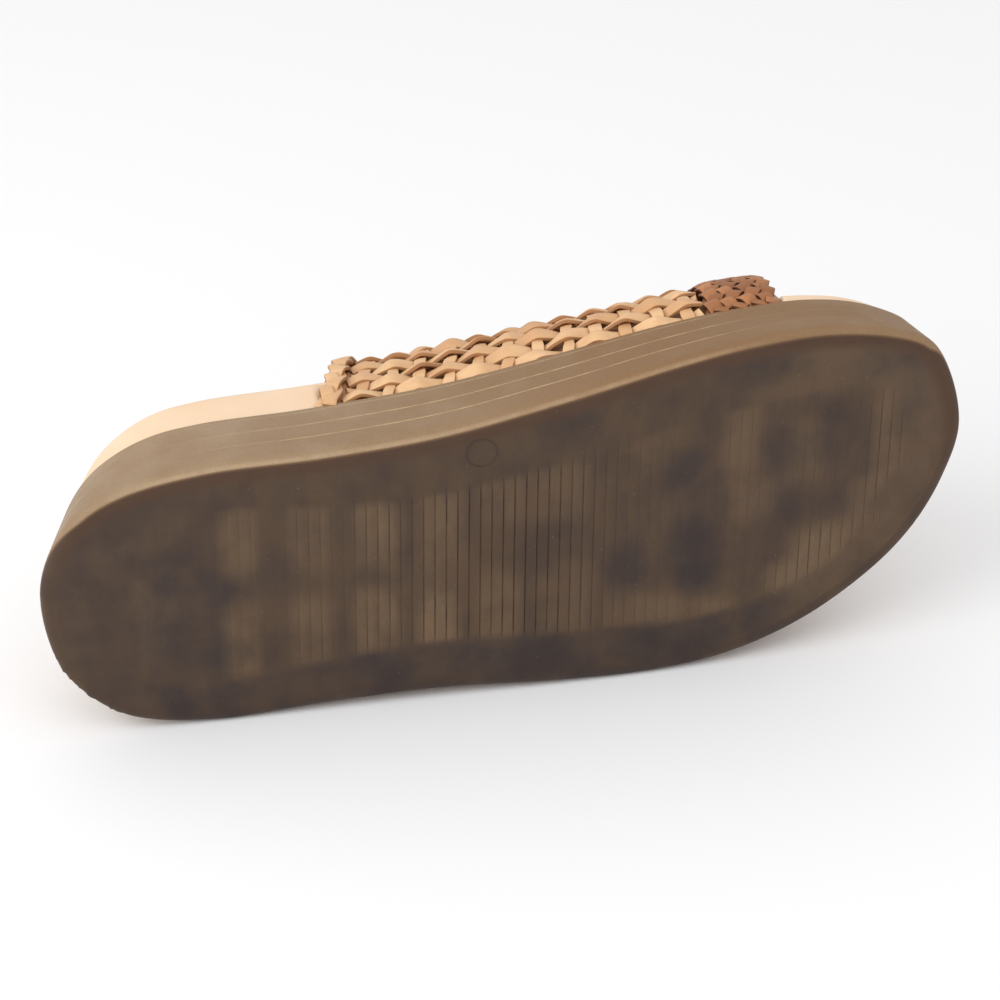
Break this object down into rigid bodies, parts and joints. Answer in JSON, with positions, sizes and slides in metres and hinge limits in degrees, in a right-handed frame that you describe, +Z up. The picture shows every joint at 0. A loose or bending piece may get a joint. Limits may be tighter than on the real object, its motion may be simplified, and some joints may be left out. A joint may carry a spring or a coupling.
{
  "type": "platform slide",
  "caption": "Left platform slide lying on its outer side: thick grooved rubber sole, leather footbed and a wide woven leather band edged with braids.",
  "frame": {"origin": "middle of the bounding box's bottom, on the floor that the shoe lies on", "axes": "+X towards the toe, -Y out of the tread, +Z up, with the shoe's inner side on top and its outer side on the floor"},
  "size_m": [0.241, 0.0884, 0.0968],
  "materials": {
    "sole_rubber": "matte, slightly translucent",
    "footbed_leather": "smooth matte",
    "tan_leather": "satin",
    "brown_leather": "satin"
  },
  "bodies": {
    "root": {"sole": "sole_rubber", "footbed": "footbed_leather", "woven_band": "tan_leather", "front_braid": "brown_leather", "rear_braid": "tan_leather"}
  },
  "joints": []
}
